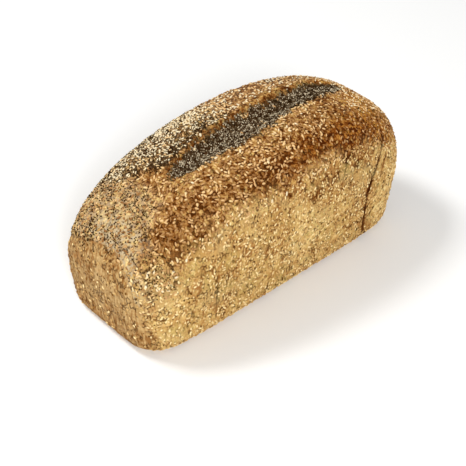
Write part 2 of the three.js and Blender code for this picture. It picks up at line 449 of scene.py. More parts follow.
def spotsAt(points, facing):  # places in millimetres, which way the crust faces, and the noises at each point
    names = ("x", "y", "z", "outX", "outY", "outZ")
    spots = dict(zip(names, np.concatenate([points / mm, facing], 1).T))
    for name, (size, shift) in zone["noises"].items():
        spots[name] = noiseAt(points, size * mm, shift)
    return spots


def heightOverRim(s):  # the rim is where the browned crown starts
    rim = zone["rim"]
    away = s["x"] - rim["peak"]
    drop = np.where(away < 0, rim["leftDrop"], rim["rightDrop"])
    edge = rim["height"] - drop * (np.abs(away) / rim["reach"]) ** rim["power"]
    return s["z"] - edge + rim["wander"] * s["wander"] + rim["ragged"] * s["ragged"]


def bandAt(s):  # the poppy band in the split, and how far beyond its far edge each point is
    band = zone["band"]
    centre, half = (size / mm for size in splitLine(s["x"] * mm))
    torn = weighed(s, band["torn"])
    spill = np.where(s["y"] < centre, band["spill"] * easeStep(s["x"], *band["spillOver"]), 0)
    across = easeStep(np.abs(s["y"] - centre) / (half + spill) + torn, *band["edge"])
    start = easeStep(s["x"] + band["endStray"] * s["wander"], *band["start"])
    end = easeStep(s["x"] + band["endStray"] * s["ragged"], *band["end"])
    return across * start * end * (s["z"] > zone["crownAbove"]), s["y"] - centre - half


def lipAt(s, beyond):  # the bare torn lip on the band's far edge
    lip = zone["lip"]
    width = lip["narrow"] + lip["wide"] * bell(s["x"], lip["middle"], lip["reach"])
    along = between(s["x"], lip["start"], lip["end"])
    inner = easeStep(beyond + s["ragged"], *lip["inner"])
    return along * inner * easeStep(beyond + lip["ragged"] * s["ragged"] - width, *lip["outer"])


def heightOverArch(s):  # the arch is the crease where the crown meets an end face
    arch = zone["arch"]
    near, far = arch["nearSide"], arch["farSide"]
    away = s["y"] - arch["middle"]
    side = {key: np.where(away < 0, near[key], far[key]) for key in far}
    drop = side["drop"] * (np.abs(away) / side["at"]) ** side["power"]
    slope = drop * side["power"] / np.maximum(np.abs(away), 1)
    return (s["z"] - arch["height"] + drop) / np.hypot(1, slope)


def domeAt(s, overArch):  # the tan speckled top of the left end
    dome = zone["dome"]
    left = easeStep(s["x"] - dome["wander"] * s["wander"], *dome["edge"])
    nearEdge = dome["near"] + dome["nearSlope"] * (s["x"] - dome["nearFrom"])
    near = easeStep(s["y"] - nearEdge + dome["wander"] * s["ragged"], *dome["nearFade"])
    return left * near * easeStep(overArch + dome["ragged"] * s["ragged"], *zone["arch"]["fade"])


def stripeAt(s, overArch):  # the floury stripe along the arch
    stripe = zone["stripe"]
    ragged = overArch + stripe["ragged"] * s["ragged"]
    narrow = stripe["lowNarrow"] * easeStep(s["z"], *stripe["low"])
    across = easeStep(ragged, *stripe["inner"]) * easeStep(ragged + narrow, *stripe["outer"])
    along = easeStep(s["y"], *stripe["far"]) * easeStep(s["z"], *stripe["base"])
    return across * along * (s["x"] < stripe["end"])


def cornerAt(s, overArch):  # seeds strewn down the near left corner
    corner = zone["corner"]
    ragged = overArch + corner["ragged"] * s["ragged"]
    across = between(ragged, corner["inner"], corner["outer"])
    along = between(s["z"], corner["base"], corner["top"])
    return across * along * easeStep(s["y"], *corner["near"]) * (s["x"] < corner["end"])


def mixAt(s, beyond):  # sesame and poppy together beyond the band's left half
    mix = zone["mix"]
    x = s["x"] + mix["wander"] * s["wander"]
    slanted = mix["slant"] * np.minimum(s["y"] - mix["slantFrom"], 0)
    start = easeStep(x + slanted + mix["ragged"] * s["ragged"], *mix["start"])
    end = easeStep(x + mix["endSlant"] * s["y"], *mix["end"])
    return start * end * easeStep(beyond, *mix["beyond"]) * (s["z"] > zone["crownAbove"])


def denseAt(s):  # where poppy outweighs sesame in that mix
    dense = zone["dense"]
    left = easeStep(s["x"] - dense["wander"] * s["wander"], *dense["left"])
    cluster = bell(s["x"], dense["clusterX"], dense["clusterReach"])
    return np.clip(left + cluster * easeStep(s["y"], *dense["clusterFar"]), 0, 1)


def creaseAt(s, overArch):  # poppy caught in the left end's crease
    crease = zone["crease"]
    along = crease["least"] + (1 - crease["least"]) * bell(s["y"], crease["middle"], crease["reach"])
    across = bell(overArch, crease["above"], crease["width"])
    return across * along * easeStep(s["y"], *crease["near"]) * (s["x"] < crease["end"])


# how dark the crust is, from 0 to 1: baked brown, with painted shade at the end faces' base and along the
# open cuts; and where it is warm (on the right end a painted warm light), floury or dark between poppy seeds
bake = {
    "kinds": {  # each one's mean, and the noises that vary it
        "side": (0.34, {"cloud": 0.3, "wander": 0.28, "ragged": 0.12}),
        "crown": (0.62, {"cloud": 0.1, "wander": 0.12}),
        "lip": (0.62, {"ragged": 0.3, "tatter": 0.4}),
        "bare": (0.6, {}),
        "dome": (0.44, {"wander": 0.16, "ragged": 0.12}),
        "corner": (0.64, {}),
    },
    # how much darker, along which axis, and between which two places
    # the sides grow darker towards the top and towards the base, and paler at the right end
    "sideSlopes": ((0.3, "z", 50, 92), (0.15, "z", 34, 8), (0.09, "x", 30, 60), (-0.4, "x", 86, 104)),
    # painted shade: the end faces darker towards the base
    "endSlopes": ((0.4, "z", 45, 10),),
    "crownSlopes": ((0.08, "y", -18, -44),),
    "crownZones": {"belt": 0.09, "far": 0.18, "farMix": -0.3},
    # the middle of each patch, its two reaches, and how much darker it is
    "sidePatches": ((15, 45, 40, 28, -0.14),),
    "crownPatches": ((-106, -34, 20, 10, 0.1), (44, -46, 40, 10, 0.12), (112, -28, 26, 28, -0.26)),
    # painted shade along the open cuts' edges
    "cutEdgeShade": 0.45,
    # on the belt and lip the warm tint is the crust's own colour; on the right end it is painted warm light
    "warm": {"beltOver": (-40, 40), "zones": {"rightEnd": 0.8, "lip": 0.2}},
    "flour": {"stripeCloud": 0.3, "dome": 0.65, "nearShare": 0.75, "nearOver": (-16, 4),
              "zones": {"farRight": 0.18, "farMix": 0.6}},
    "bed": {"mix": 0.3, "dense": 0.6, "farLess": 0.9},
}


def slopesAt(s, slopes):
    return sum(amount * easeStep(s[axis], low, high) for amount, axis, low, high in slopes)


def patchesAt(s, axis, patches):  # patches across x and the other axis
    return sum(
        darker * bell(s["x"], x, reachX) * bell(s[axis], other, reachOther)
        for x, other, reachX, reachOther, darker in patches
    )


def bakeAndShadeAt(s, zones):
    baked = {kind: mean + weighed(s, noises) for kind, (mean, noises) in bake["kinds"].items()}
    side = baked["side"] + slopesAt(s, bake["sideSlopes"]) + patchesAt(s, "z", bake["sidePatches"])
    side = side + zones["endFace"] * slopesAt(s, bake["endSlopes"])
    upper = baked["crown"] + slopesAt(s, bake["crownSlopes"]) + patchesAt(s, "y", bake["crownPatches"])
    upper = upper + weighed(zones, bake["crownZones"])
    shade = side + (upper - side) * zones["top"]
    shade = shade + sum((baked[kind] - shade) * zones[kind] for kind in ("lip", "bare", "dome"))
    return shade + (baked["corner"] - shade) * zones["corner"]


def warmAt(s, zones):
    onBelt = easeStep(s["x"], *bake["warm"]["beltOver"]) * zones["belt"] * zones["top"]
    return np.clip(onBelt + weighed(zones, bake["warm"]["zones"]), 0, 1) * (1 - zones["band"])


def flourAt(s, zones, dome, stripe):
    flour = bake["flour"]
    near = flour["nearShare"] + (1 - flour["nearShare"]) * easeStep(s["y"], *flour["nearOver"])
    onEnd = stripe * (1 + flour["stripeCloud"] * s["cloud"]) + flour["dome"] * dome * near
    return np.clip(onEnd + weighed(zones, flour["zones"]) * zones["top"] * (1 - zones["lip"]), 0, 1)


def zonesAt(points, facing):  # how far each point is in each zone, mostly from 0 to 1
    s = spotsAt(points, facing)
    overRim, overArch = heightOverRim(s), heightOverArch(s)
    top = easeStep(overRim, *zone["rim"]["fade"])
    band, beyond = bandAt(s)
    lip = lipAt(s, beyond)
    far = easeStep(s["y"], *zone["far"])
    mix = mixAt(s, beyond) * (1 - lip) * top
    bare = mix * easeStep(s["spots"], *zone["mix"]["bare"]) * (1 - zone["mix"]["farFilled"] * far)
    mix = mix * (1 - bare)
    dense = denseAt(s)
    dome, stripe = domeAt(s, overArch), stripeAt(s, overArch)
    underArch = 1 - easeStep(overArch, *zone["arch"]["fade"])
    endFace = easeStep(np.abs(s["outX"]), *zone["endFace"]) * underArch
    rightHalf = easeStep(s["x"], *zone["rightHalf"])
    inMix = mix * (bake["bed"]["mix"] + bake["bed"]["dense"] * dense) * (1 - bake["bed"]["farLess"] * far)
    zones = {
        "top": top,
        "belt": between(overRim, zone["belt"]["start"], zone["belt"]["end"]),
        "band": band,
        "bed": np.clip(band + inMix, 0, 1),
        "lip": lip,
        "far": far,
        "farTop": far * top,
        "farMix": far * mix,
        "farRight": far * easeStep(s["x"], *zone["farRight"]),
        "leftHalf": 1 - rightHalf,
        "rightHalf": rightHalf,
        "rightEnd": easeStep(s["x"], *zone["rightEnd"]) * (1 - far) * top,
        "mix": mix,
        "bare": bare,
        "dense": mix * dense * (1 - zone["dense"]["farThinned"] * far),
        "dome": np.maximum(dome, stripe),
        "pepper": dome * easeStep(s["x"], *zone["pepper"]) * (1 - mix),
        "crease": creaseAt(s, overArch),
        "corner": cornerAt(s, overArch),
        "endFace": endFace,
        "pressed": (1 - top) * (1 - zone["endLoose"] * endFace),
        "under": easeStep(s["outZ"], *zone["under"]),
        "clump": s["ragged"],
        "speckle": s["tatter"],
        "cluster": s["spots"],
        "mixCluster": s["spots"] * mix,
    }
    zones["warm"] = warmAt(s, zones)
    zones["flour"] = flourAt(s, zones, dome, stripe)
    # with painted shade along the open cuts
    zones["bake"] = np.clip(bakeAndShadeAt(s, zones) + bake["cutEdgeShade"] * cutEdgeShade(points), 0, 1)
    return zones


# crust: each slice's skin, with low swells and a fine uneven surface
crust = {
    "pointsRound": 432,
    "stepsPerSlice": 13,
    "slack": 0.0001,  # of a plain drum, which is one long with a radius of one
    "heelRimSteps": 12,
    "heelDepth": 0.0125,
    "heelReach": 0.055,
    "heelRings": (0.975, 0.945, 0.91, 0.875, 0.84, 0.8, 0.76, 0.72, 0.68, 0.63,
                  0.58, 0.52, 0.46, 0.4, 0.33, 0.26, 0.19, 0.12, 0.06),
    "heelHalving": (5, 11, 15, 17),
    "swell": {"height": 0.0006, "size": 0.038, "noise": 40},
    "swellFade": (0.011, 0.033),
    "lump": {"height": 0.0005, "size": 0.009, "noise": 11},
    "wrinkle": {"height": 0.00045, "size": 0.0036, "noise": 5},
    "lumpFade": (0.002, 0.012),
    "pressedShare": 0.6,
    "freeOver": (0.088, 0.104),
    "torn": {"height": 0.0015, "size": 0.0055, "noise": 23},
    "tornStretch": (0.35, 1, 1),
    "tornStart": (-0.065, -0.03),
    "tornEnd": (0.105, 0.08),
    "tornAbove": 0.08,
    "endStarts": (0.122, 0.130),
    "grooveBelow": 0.0015,
    "grooveWidth": 0.0034,
    "grooveDepth": 0.0011,
    "archAbove": 0.006,
    "archWidth": 0.006,
    "archSwell": 0.0012,
    "look": {
        "roughness": 0.7,
        "roughMottle": 0.3,
        "specular": 0.04,
        "stops": (
            (0.0, (236, 205, 140)),
            (0.22, (208, 173, 105)),
            (0.45, (184, 141, 80)),
            (0.65, (156, 109, 58)),
            (0.85, (116, 66, 17)),
            (1.0, (76, 36, 2)),
        ),
        "mottle": {"size": 0.014, "detail": 4, "share": 0.7},
        "fine": {"size": 0.0030, "detail": 3, "pressed": 1.1, "free": 0.5},
        "dust": {"size": 0.0011, "detail": 2, "pressed": 0.2, "free": 0.8},
        "husk": {"size": 0.0026, "stretch": (1, 1, 0.65), "share": 0.36},
        # the gaps' and pits' dark tints are painted shade in the crust's hollows
        "gap": {"edge": (0.02, 0.2), "size": 0.005, "some": (0.46, 0.64), "share": 0.82, "tint": (68, 34, 4)},
        "pit": {"perMetre": 330, "edge": (0.12, 0.3), "some": (0.6, 0.7), "share": 0.8, "tint": (80, 48, 18)},
        # the warm tint, which is painted warm light on the right end
        "warm": (255, 228, 178),
        "patches": (  # shift, size, the noise where one starts and is full, share, tint
            (0, 0.026, 0.48, 0.64, 0.45, (214, 188, 126)),
            (0.3, 0.017, 0.5, 0.64, 0.5, (198, 170, 100)),
            (0.7, 0.015, 0.5, 0.64, 0.4, (202, 150, 88)),
        ),
        "streak": {"size": 0.0015, "stretch": (1, 1, 0.14), "mottle": 0.35, "fine": 0.6, "bake": 0.22,
                   "bakeAndShadeMean": 0.28},
        "endStops": ((0.55, (212, 178, 124)), (0.8, (186, 149, 96)), (1.0, (148, 103, 54))),
        "endWarm": {"size": 0.013, "some": (0.54, 0.68), "share": 0.35, "tint": (180, 122, 62)},
        "flour": {"some": (0.3, 0.62), "tint": (194, 173, 137)},
        "bedStops": ((0.35, (42, 28, 14)), (0.7, (88, 66, 40))),
        "bump": {"dust": 0.5, "hollows": 0.8, "strength": 0.8, "distance": 0.0009},
    },
}

# crumb: the cut faces, with open pores
crumb = {
    "rings": (0.985, 0.955, 0.91, 0.86, 0.81, 0.75, 0.69, 0.62, 0.55, 0.47, 0.38, 0.29, 0.2, 0.1),
    "halving": (1, 7, 11),
    "poreSize": 0.0055,
    "poreReach": 0.55,
    "poreDepth": 0.0012,
    "fromCrust": (0.95, 0.89),
    "crustRings": 2,
    "rimReach": 0.0003,
    "look": {
        "roughness": 0.85,
        "specular": 0.2,
        "poresPerMetre": 420,
        "poreEdge": (0.12, 0.55),
        # painted shade inside the pores
        "poreShadeTint": (168, 132, 84),
        "mottleSize": 0.006,
        "stops": ((0.3, (206, 176, 128)), (0.7, (232, 210, 170))),
        "speckSize": 0.0018,
        "speckSome": (0.7, 0.76),
        "speckTint": (120, 82, 44),
        "bump": {"strength": 0.7, "distance": 0.0012},
    },
}


def huskPattern(tree, place):  # husks pressed flush into the sides, with painted shade in the gaps between some of them
    husk, gap = crust["look"]["husk"], crust["look"]["gap"]
    tall = mapped(tree, place, "Scale", husk["stretch"])
    shade = cellShade(tree, cellsOf(tree, tall, 1 / husk["size"]))
    edge = cellsOf(tree, tall, 1 / husk["size"], "DISTANCE_TO_EDGE")["Distance"]
    some = spread(tree, grain(tree, place, gap["size"], detail=2), *gap["some"])
    between = times(tree, minus(tree, 1, spread(tree, edge, *gap["edge"])), some)
    return times(tree, minus(tree, shade, 0.5), husk["share"]), between


# a few round pits, which the crust's colour darkens with painted shade
def pitPattern(tree, place):
    pit = crust["look"]["pit"]
    cells = cellsOf(tree, place, pit["perMetre"])
    some = spread(tree, cellShade(tree, cells), *pit["some"])
    return times(tree, minus(tree, 1, spread(tree, cells["Distance"], *pit["edge"])), some)


def endColour(tree, place, mottle, fine):  # the end faces, with upright streaks
    streak, warm = crust["look"]["streak"], crust["look"]["endWarm"]
    tone = grain(tree, mapped(tree, place, "Scale", streak["stretch"]), streak["size"])
    baked = minus(tree, fieldOf(tree, "bake"), streak["bakeAndShadeMean"])
    for part, share in ((mottle, streak["mottle"]), (fine, streak["fine"]), (baked, streak["bake"])):
        tone = plus(tree, tone, times(tree, part, share))
    some = times(tree, spread(tree, grain(tree, place, warm["size"]), *warm["some"]), warm["share"])
    return mixColour(tree, some, rampColour(tree, tone, crust["look"]["endStops"]), tint(*warm["tint"]))


def makeCrustMaterial():
    look = crust["look"]
    material, tree, shader = newMaterial("bakedCrust", look)
    place = objectPlace(tree)
    pressed = fieldOf(tree, "pressed")
    free = minus(tree, 1, pressed)
    husk, gap = huskPattern(tree, place)
    pit = pitPattern(tree, place)
    mottle, fine, dust = (
        grain(tree, place, look[name]["size"], look[name]["detail"]) for name in ("mottle", "fine", "dust")
    )
    mottle = minus(tree, mottle, 0.5)
    tone = plus(tree, plus(tree, fieldOf(tree, "bake"), husk), times(tree, mottle, look["mottle"]["share"]))
    for name, pattern in (("fine", fine), ("dust", dust)):
        share = plus(tree, times(tree, free, look[name]["free"]), look[name]["pressed"])
        tone = plus(tree, tone, times(tree, minus(tree, pattern, 0.5), share))
    colour = rampColour(tree, tone, look["stops"])
    colour = mixColour(tree, fieldOf(tree, "warm"), colour, tint(*look["warm"]), "MULTIPLY")
    for shift, size, low, high, share, patchTint in look["patches"]:
        moved = mapped(tree, place, "Location", (shift, 0, 0))
        patch = times(tree, spread(tree, grain(tree, moved, size), low, high), pressed)
        colour = mixColour(tree, times(tree, patch, share), colour, tint(*patchTint))
    colour = mixColour(tree, fieldOf(tree, "endFace"), colour, endColour(tree, place, mottle, fine))
    flour = times(tree, fieldOf(tree, "flour"), spread(tree, fine, *look["flour"]["some"]))
    colour = mixColour(tree, flour, colour, tint(*look["flour"]["tint"]))
    colour = mixColour(tree, fieldOf(tree, "bed"), colour, rampColour(tree, fine, look["bedStops"]))
    # painted shade in the gaps between husks and in the pits
    for name, hollow in (("gap", gap), ("pit", pit)):
        colour = mixColour(tree, times(tree, hollow, look[name]["share"]), colour, tint(*look[name]["tint"]))
    tree.links.new(colour, shader.inputs["Base Color"])
    hollows = times(tree, mathNode(tree, "MAXIMUM", pit, gap), look["bump"]["hollows"])
    height = minus(tree, plus(tree, fine, times(tree, dust, look["bump"]["dust"])), hollows)
    addBump(tree, shader, height, look["bump"])
    rough = plus(tree, times(tree, mottle, look["roughMottle"]), look["roughness"])
    tree.links.new(rough, shader.inputs["Roughness"])
    return material


def makeCrumbMaterial():
    look = crumb["look"]
    material, tree, shader = newMaterial("openCrumb", look)
    place = objectPlace(tree)
    pores = spread(tree, cellsOf(tree, place, look["poresPerMetre"])["Distance"], *look["poreEdge"])
    colour = rampColour(tree, grain(tree, place, look["mottleSize"]), look["stops"])
    # the pores' middles darkened with painted shade
    colour = mixColour(tree, pores, tint(*look["poreShadeTint"]), colour)
    specks = spread(tree, grain(tree, place, look["speckSize"], detail=2), *look["speckSome"])
    colour = mixColour(tree, specks, colour, tint(*look["speckTint"]))
    tree.links.new(colour, shader.inputs["Base Color"])
    addBump(tree, shader, pores, look["bump"])
    return material


def extrudedRing(bm, edges):
    made = bmesh.ops.extrude_edge_only(bm, edges=edges)["geom"]
    verts = [g for g in made if isinstance(g, bmesh.types.BMVert)]
    faces = [g for g in made if isinstance(g, bmesh.types.BMFace)]
    return verts, ringEdges(verts), faces


def ringEdges(verts):  # each edge between two of the points once, in the points' order
    ring = set(verts)
    return list(dict.fromkeys(e for v in verts for e in v.link_edges if e.other_vert(v) in ring))


def halveRing(bm, verts):  # welds every second point of a ring to the one before it
    around = sorted(verts, key=lambda v: math.atan2(-v.co.y, v.co.z))
    bmesh.ops.weld_verts(bm, targetmap=dict(zip(around[1::2], around[0::2])))
    return around[0::2], ringEdges(around[0::2])


def closeFace(bm, edges, rings, halving, materialIndex):  # rings of quads towards the middle, then a fan
    for edge in edges:
        edge.smooth = False
    radius = 1
    for number, ring in enumerate(rings):
        verts, edges, faces = extrudedRing(bm, edges)
        bmesh.ops.scale(bm, vec=(1, ring / radius, ring / radius), verts=verts)
        radius = ring
        for face in faces:
            face.material_index = materialIndex if number >= crumb["crustRings"] else 0
        if number in halving:
            verts, edges = halveRing(bm, verts)
    cap = bmesh.ops.edgeloop_fill(bm, edges=edges)["faces"]
    for face in bmesh.ops.poke(bm, faces=cap)["faces"]:
        face.material_index = materialIndex


def drum(steps, leftRings, rightRings, leftIndex, rightIndex):
    bm = bmesh.new()
    bmesh.ops.create_circle(bm, cap_ends=False, radius=1, segments=crust["pointsRound"])
    turn = Vector((0, 0, 1)).rotation_difference(Vector((1, 0, 0))).to_matrix()
    bmesh.ops.rotate(bm, verts=bm.verts[:], cent=(0, 0, 0), matrix=turn)
    first = bm.edges[:]
    edges = first
    for step in range(steps):
        verts, edges, faces = extrudedRing(bm, edges)
        bmesh.ops.translate(bm, verts=verts, vec=(1 / steps, 0, 0))
    closeFace(bm, first, *leftRings, leftIndex)
    closeFace(bm, edges, *rightRings, rightIndex)
    return bm


def unevenness(points, kind):
    return kind["height"] * noiseAt(points, kind["size"], kind["noise"])


def crustRelief(points):
    x, y, z = points.T
    free = crust["pressedShare"] + (1 - crust["pressedShare"]) * easeStep(z, *crust["freeOver"])
    small = unevenness(points, crust["lump"]) + unevenness(points, crust["wrinkle"])
    relief = unevenness(points, crust["swell"]) * easeStep(z, *crust["swellFade"])
    relief = relief + small * free * easeStep(z, *crust["lumpFade"])
    centre, half = splitLine(x)
    torn = bell(y - centre - half, split["lipOffset"], split["lipOuter"]) * (z > crust["tornAbove"])
    torn = torn * between(x, crust["tornStart"], crust["tornEnd"])
    return relief + torn * unevenness(points * np.array(crust["tornStretch"]), crust["torn"])


def endRelief(points):  # the crown swells out over the crease at each end
    over = heightOverArch(dict(zip("xyz", (points / mm).T))) * mm
    groove = crust["grooveDepth"] * bell(over, -crust["grooveBelow"], crust["grooveWidth"])
    swelling = crust["archSwell"] * bell(over, crust["archAbove"], crust["archWidth"])
    return (swelling - groove) * easeStep(np.abs(points[:, 0]), *crust["endStarts"])


def poreDepth(points):
    nearest = np.array([noise.voronoi(p)[0][0] for p in (points / crumb["poreSize"]).tolist()])
    return crumb["poreDepth"] * np.clip(1 - nearest / crumb["poreReach"], 0, 1)


def betweenMiddles(points, along, number):  # sets x by the share of the way between a slice's two cuts
    y, z = points[:, 1], points[:, 2]
    left, right = cutMiddle(number - 1, z), cutMiddle(number, z)
    return np.stack([left + (right - left) * along, y, z], 1)


def betweenCuts(points, along, number):  # the same between the slice's two faces
    y, z = points[:, 1], points[:, 2]
    left, right = faceX(number - 1, y, z, 1), faceX(number, y, z, -1)
    return np.stack([left + (right - left) * along, y, z], 1)


def shapeSlice(bm, number):  # pushes the plain drum's points out to the loaf
    first, last = number == 0, number == cuts["count"]
    plain = np.array([v.co[:] for v in bm.verts])
    along, radius = plain[:, 0], np.hypot(plain[:, 1], plain[:, 2])
    share = radius.copy()
    angle = np.arctan2(-plain[:, 1], plain[:, 2])
    sideways, upwards = -np.sin(angle), np.cos(angle)
    inner = radius < 1 - crust["slack"]
    origins = np.zeros_like(plain)
    origins[:, 2] = section["centre"]
    rays = np.stack([np.zeros(len(plain)), sideways, upwards], 1)
    if first or last:
        cut = 0 if first else cuts["count"] - 1
        outwards = 1 - along if first else along
        side = -1 if first else 1
        isCut = inner & (outwards < crust["slack"])
        isEnd = inner & ~isCut
        share[isEnd] = 1
        flat = np.where(isEnd, radius, 1)
        origins[:, 0] = cutFoot(cut) + side * cuts["gap"] / 2
        rays[:, 1] *= flat
        rays[:, 2] *= flat
        rays[:, 0] = side * outwards * crust["heelDepth"] / crust["heelReach"]
        into = side
        placed = np.copy  # a heel's points stay where their rays put them
    else:
        isCut = inner
        into = np.where(along < 0.5, 1, -1)
        placed = partial(betweenMiddles, along=along, number=number)
    reach = castCrust(origins, rays, placed)
    reach = reach + crustRelief(placed(origins + rays * reach[:, None]))
    points = origins + rays * (reach * share)[:, None]
    if not (first or last):
        points = betweenCuts(points, along, number)
    pores = poreDepth(points) * easeStep(share, *crumb["fromCrust"])
    points[:, 0] += np.where(isCut, into * pores, 0)
    if first or last:
        points[:, 0] += side * endRelief(points) * ~isCut
    points[:, 2] = np.maximum(points[:, 2], 0)
    for vert, place in zip(bm.verts, points.tolist()):
        vert.co = place


def storeField(mesh, name, values):
    field = mesh.attributes.new(name, "FLOAT", "POINT")
    field.data.foreach_set("value", np.asarray(values, np.float32))


def unit(vectors):  # the same directions, each of length one
    return vectors / np.maximum(np.linalg.norm(vectors, axis=1), 1e-12)[:, None]


def vertexArrays(mesh):
    points = np.zeros(len(mesh.vertices) * 3, np.float32)
    facing = np.zeros(len(mesh.vertices) * 3, np.float32)
    mesh.vertices.foreach_get("co", points)
    mesh.vertices.foreach_get("normal", facing)
    return points.reshape(-1, 3).astype(float), facing.reshape(-1, 3).astype(float)


def sliceName(number):
    if number == 0:
        return "heel_left"
    return "heel_right" if number == cuts["count"] else f"slice_{number:02d}"


def makeSlice(number, materials):
    cutFace = (crumb["rings"], crumb["halving"])
    endFace = (crust["heelRings"], crust["heelHalving"])
    if number == 0:
        bm = drum(crust["heelRimSteps"], endFace, cutFace, 0, 1)
    elif number == cuts["count"]:
        bm = drum(crust["heelRimSteps"], cutFace, endFace, 1, 0)
    else:
        bm = drum(crust["stepsPerSlice"], cutFace, cutFace, 1, 1)
    shapeSlice(bm, number)
    bmesh.ops.recalc_face_normals(bm, faces=bm.faces[:])
    for face in bm.faces:
        face.smooth = True
    mesh = bpy.data.meshes.new(sliceName(number) + "_crust")
    bm.to_mesh(mesh)
    bm.free()
    for material in materials:
        mesh.materials.append(material)
    points, facing = vertexArrays(mesh)
    inCut = nearestCut(points)[0] < crumb["rimReach"]
    radial = unit(points * np.array([0, 1, 1]) - np.array([0, 0, section["centre"]]))
    zones = zonesAt(points, np.where(inCut[:, None], radial, facing))
    for name in ("bake", "warm", "flour", "bed", "endFace", "pressed"):
        storeField(mesh, name, zones[name])
    piece = bpy.data.objects.new(sliceName(number) + "_crust", mesh)
    scene.collection.objects.link(piece)
    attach(piece, "root")
    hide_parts(sliceName(number))
    return piece


sliceMaterials = (makeCrustMaterial(), makeCrumbMaterial())
slicePieces = [makeSlice(number, sliceMaterials) for number in range(cuts["count"] + 1)]
print("slices:", len(slicePieces), "pieces,", sum(len(p.data.polygons) for p in slicePieces), "faces")


# the crust's triangles, which the seeds are scattered on
def gatherSkin(pieces):
    corners = []
    for piece in pieces:
        faces = [face.vertices[:] for face in piece.data.polygons if face.material_index == 0]
        starts = [face.index(min(face)) for face in faces]
        # sorted, because the faces' own order isn't the same in every run
        ordered = sorted(face[start:] + face[:start] for face, start in zip(faces, starts))
        triangles = [(face[0], *pair) for face in ordered for pair in zip(face[1:], face[2:])]
        corners.append(vertexArrays(piece.data)[0][np.array(triangles)])
    corners = np.concatenate(corners)
    inCut = nearestCut(corners.reshape(-1, 3))[0].reshape(-1, 3).max(1) < crumb["rimReach"]
    corners = corners[~inCut]
    cross = np.cross(corners[:, 1] - corners[:, 0], corners[:, 2] - corners[:, 0])
    return {"corners": corners, "area": np.linalg.norm(cross, axis=1) / 2, "facing": unit(cross)}


skin = gatherSkin(slicePieces)
skinZones = zonesAt(skin["corners"].mean(1), skin["facing"])
print("skin:", len(skin["area"]), "triangles,", round(skin["area"].sum() * 1e4), "square centimetres")


def thinOut(points, gap):  # keeps points that stand clear of those kept before
    kept, cells = [], {}
    for index, point in enumerate(points.tolist()):
        cell = tuple(int(math.floor(c / gap)) for c in point)
        near = [
            other
            for i in (-1, 0, 1)
            for j in (-1, 0, 1)
            for k in (-1, 0, 1)
            for other in cells.get((cell[0] + i, cell[1] + j, cell[2] + k), ())
        ]
        if all(math.dist(point, other) > gap for other in near):
            kept.append(index)
            cells.setdefault(cell, []).append(point)
    return np.array(kept, int)


def scatter(rng, perArea, gap, reach):  # perArea is seeds for each square millimetre of each triangle
    wanted = skin["area"] / mm ** 2 * perArea
    count = int(wanted.sum())
    chosen = rng.choice(len(wanted), size=count, p=wanted / wanted.sum())
    u, v = rng.random((2, count))
    folded = u + v > 1
    u, v = np.where(folded, 1 - u, u), np.where(folded, 1 - v, v)
    a, b, c = skin["corners"][chosen].transpose(1, 0, 2)
    points = a + u[:, None] * (b - a) + v[:, None] * (c - a)
    distance, width = nearestCut(points)
    clear = (distance > reach) | (width < cuts["bridged"])
    points, chosen = points[clear], chosen[clear]
    kept = thinOut(points, gap)
    return points[kept], chosen[kept], skin["facing"][chosen[kept]]


def clumped(kind, more=0):  # how much denser or thinner seeds lie from place to place
    return np.clip(1 + weighed(skinZones, kind["clumps"]) + more, *kind["clumpLimits"])


def lieOn(rng, facing, lean, upright=0):  # turns that lay each seed flat on the crust, at a random heading
    count = len(facing)
    up = unit(facing + rng.normal(0, lean, (count, 3)))
    heading = rng.normal(0, 1, (count, 3)) * np.array([1, 1, 1 + upright])
    forward = unit(heading - up * (heading * up).sum(1)[:, None])
    return np.stack([forward, np.cross(up, forward), up], 2)


def joinSeeds(name, template, turns, sizes, places, tones, material, smooth=True):
    points, triangles = template
    shaped = np.einsum("nij,nvj->nvi", turns, points[None] * sizes[:, None, :]) + places[:, None, :]
    faces = triangles[None] + (np.arange(len(places)) * len(points))[:, None, None]
    mesh = bpy.data.meshes.new(name)
    mesh.from_pydata(shaped.reshape(-1, 3).tolist(), [], faces.reshape(-1, 3).tolist())
    mesh.polygons.foreach_set("use_smooth", np.full(len(mesh.polygons), smooth))
    storeField(mesh, "tone", np.repeat(tones, len(points)))
    mesh.materials.append(material)
    mesh.update()
    piece = bpy.data.objects.new(name, mesh)
    scene.collection.objects.link(piece)
    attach(piece, "root")
    print(name + ":", len(places), "seeds,", len(mesh.polygons), "triangles")
    return piece


def templateOf(bm):
    bmesh.ops.triangulate(bm, faces=bm.faces[:])
    bmesh.ops.recalc_face_normals(bm, faces=bm.faces[:])
    bm.verts.ensure_lookup_table()
    points = np.array([v.co[:] for v in bm.verts])
    triangles = np.array([[v.index for v in f.verts] for f in bm.faces])
    bm.free()
    return points, triangles


